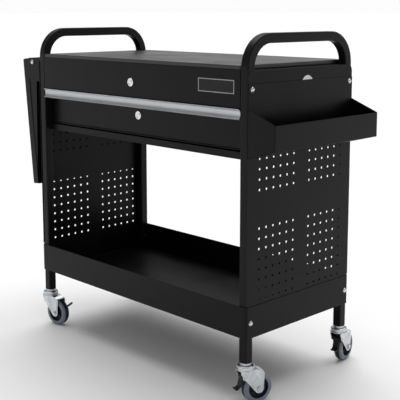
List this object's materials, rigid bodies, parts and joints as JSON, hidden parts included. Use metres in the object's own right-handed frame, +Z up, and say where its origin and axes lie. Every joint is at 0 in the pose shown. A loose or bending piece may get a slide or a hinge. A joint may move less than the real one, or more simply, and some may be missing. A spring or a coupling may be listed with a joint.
{
  "type": "tool cart",
  "caption": "Black steel tool cart on swivel casters with a hinged lid, a lockable drawer, an open tray, perforated ends, a side bin and a folding side shelf",
  "frame": {"origin": "middle of the bottom of the whole cart's bounding box, on the floor", "axes": "+Z up, +X toward the side bin, the drawer opens toward -Y"},
  "size_m": [1.0566, 0.49, 0.93],
  "materials": {
    "black_powder": "satin black powder coat on sheet steel and tube",
    "zinc_plate": "bright zinc plate",
    "lock_chrome": "polished chrome",
    "pull_aluminium": "satin anodised, brushed along its length",
    "tyre_rubber": "dark blue-black rubber tread",
    "hub_plastic": "light grey moulded plastic",
    "pedal_plastic": "black plastic",
    "bushing_plastic": "white moulded plastic",
    "badge_plate": "blank black plate with a pale outline"
  },
  "bodies": {
    "base": {"frame_left": "black_powder", "frame_right": "black_powder", "panel_left": "black_powder", "panel_right": "black_powder", "cabinet_wall_left": "black_powder", "cabinet_wall_right": "black_powder", "cabinet_front": "black_powder", "cabinet_corners": "black_powder", "cabinet_back": "black_powder", "cabinet_divider": "black_powder", "cabinet_bottom": "black_powder", "cabinet_rail": "black_powder", "cable_bushing": "bushing_plastic", "badge_frame": "badge_plate", "hinge_fixed": "black_powder", "hinge_pin": "zinc_plate", "lid_lock_body": "lock_chrome", "slide_fixed": "zinc_plate", "side_bin": "black_powder", "bin_bolts": "zinc_plate", "tray": "black_powder", "tray_bolts": "zinc_plate", "tray_nuts": "zinc_plate", "shelf_brackets": "black_powder", "bracket_bolts": "zinc_plate", "shelf_pivots": "zinc_plate", "leg_inserts": "pedal_plastic", "caster_stems": "zinc_plate"},
    "lid": {"lid": "black_powder", "hinge_lid": "black_powder"},
    "lid_lock": {"lid_lock_plug": "lock_chrome", "lid_lock_cam": "zinc_plate"},
    "drawer": {"drawer_front": "black_powder", "drawer_pan": "black_powder", "drawer_pull": "pull_aluminium", "drawer_lock_body": "lock_chrome", "slide_inner": "zinc_plate"},
    "slide_middle": {"slide_middle": "zinc_plate"},
    "drawer_lock": {"drawer_lock_plug": "lock_chrome", "drawer_lock_cam": "zinc_plate"},
    "side_shelf": {"side_shelf": "black_powder"},
    "caster_front_left": {"fork_front_left": "zinc_plate"},
    "wheel_front_left": {"tyre_front_left": "tyre_rubber", "hub_front_left": "hub_plastic"},
    "pedal_front_left": {"brake_front_left": "zinc_plate"},
    "caster_front_right": {"fork_front_right": "zinc_plate"},
    "wheel_front_right": {"tyre_front_right": "tyre_rubber", "hub_front_right": "hub_plastic"},
    "pedal_front_right": {"brake_front_right": "pedal_plastic"},
    "caster_back_left": {"fork_back_left": "zinc_plate"},
    "wheel_back_left": {"tyre_back_left": "tyre_rubber", "hub_back_left": "hub_plastic"},
    "pedal_back_left": {"brake_back_left": "zinc_plate"},
    "caster_back_right": {"fork_back_right": "zinc_plate"},
    "wheel_back_right": {"tyre_back_right": "tyre_rubber", "hub_back_right": "hub_plastic"},
    "pedal_back_right": {"brake_back_right": "pedal_plastic"}
  },
  "joints": [
    {"name": "lid_hinge", "type": "hinge", "parent": "base", "child": "lid", "pos_m": [0.00632, 0.18972, 0.8455], "axis": [-1, 0, 0], "range_deg": [0, 95]},
    {"name": "lid_lock_turn", "type": "hinge", "parent": "base", "child": "lid_lock", "pos_m": [0.00632, -0.22478, 0.79], "axis": [0, -1, 0], "range_deg": [0, 90]},
    {"name": "drawer_slide", "type": "slide", "parent": "base", "child": "drawer", "axis": [0, -1, 0], "range_m": [0, 0.3]},
    {"name": "slide_follow", "type": "slide", "parent": "base", "child": "slide_middle", "axis": [0, -1, 0], "range_m": [0, 0.15]},
    {"name": "drawer_lock_turn", "type": "hinge", "parent": "drawer", "child": "drawer_lock", "pos_m": [0.00632, -0.19778, 0.697], "axis": [0, -1, 0], "range_deg": [0, 90]},
    {"name": "shelf_fold", "type": "hinge", "parent": "base", "child": "side_shelf", "pos_m": [-0.46918, -0.01978, 0.8255], "axis": [0, 1, 0], "range_deg": [0, 96]},
    {"name": "swivel_front_left", "type": "hinge", "parent": "base", "child": "caster_front_left", "pos_m": [-0.41518, -0.21228, 0.104], "axis": [0, 0, 1], "continuous": true},
    {"name": "roll_front_left", "type": "hinge", "parent": "caster_front_left", "child": "wheel_front_left", "pos_m": [-0.38349, -0.20783, 0.04], "axis": [0.1392, -0.9903, 0], "continuous": true},
    {"name": "brake_front_left", "type": "hinge", "parent": "caster_front_left", "child": "pedal_front_left", "pos_m": [-0.38583, -0.19119, 0.04], "axis": [0.1392, -0.9903, 0], "range_deg": [0, 18]},
    {"name": "swivel_front_right", "type": "hinge", "parent": "base", "child": "caster_front_right", "pos_m": [0.42782, -0.21228, 0.104], "axis": [0, 0, 1], "continuous": true},
    {"name": "roll_front_right", "type": "hinge", "parent": "caster_front_right", "child": "wheel_front_right", "pos_m": [0.43824, -0.18202, 0.04], "axis": [0.9455, -0.3256, 0], "continuous": true},
    {"name": "brake_front_right", "type": "hinge", "parent": "caster_front_right", "child": "pedal_front_right", "pos_m": [0.42457, -0.22174, 0.073], "axis": [0.9455, -0.3256, 0], "range_deg": [0, 18]},
    {"name": "swivel_back_left", "type": "hinge", "parent": "base", "child": "caster_back_left", "pos_m": [-0.41518, 0.17272, 0.104], "axis": [0, 0, 1], "continuous": true},
    {"name": "roll_back_left", "type": "hinge", "parent": "caster_back_left", "child": "wheel_back_left", "pos_m": [-0.38349, 0.17717, 0.04], "axis": [0.1392, -0.9903, 0], "continuous": true},
    {"name": "brake_back_left", "type": "hinge", "parent": "caster_back_left", "child": "pedal_back_left", "pos_m": [-0.38583, 0.19381, 0.04], "axis": [0.1392, -0.9903, 0], "range_deg": [0, 18]},
    {"name": "swivel_back_right", "type": "hinge", "parent": "base", "child": "caster_back_right", "pos_m": [0.42782, 0.17272, 0.104], "axis": [0, 0, 1], "continuous": true},
    {"name": "roll_back_right", "type": "hinge", "parent": "caster_back_right", "child": "wheel_back_right", "pos_m": [0.42172, 0.20413, 0.04], "axis": [0.9816, 0.1908, 0], "continuous": true},
    {"name": "brake_back_right", "type": "hinge", "parent": "caster_back_right", "child": "pedal_back_right", "pos_m": [0.42973, 0.1629, 0.073], "axis": [0.9816, 0.1908, 0], "range_deg": [0, 18]}
  ],
  "couplings": [
    {"joint": "slide_follow", "follows": "drawer_slide", "ratio": 0.5}
  ]
}
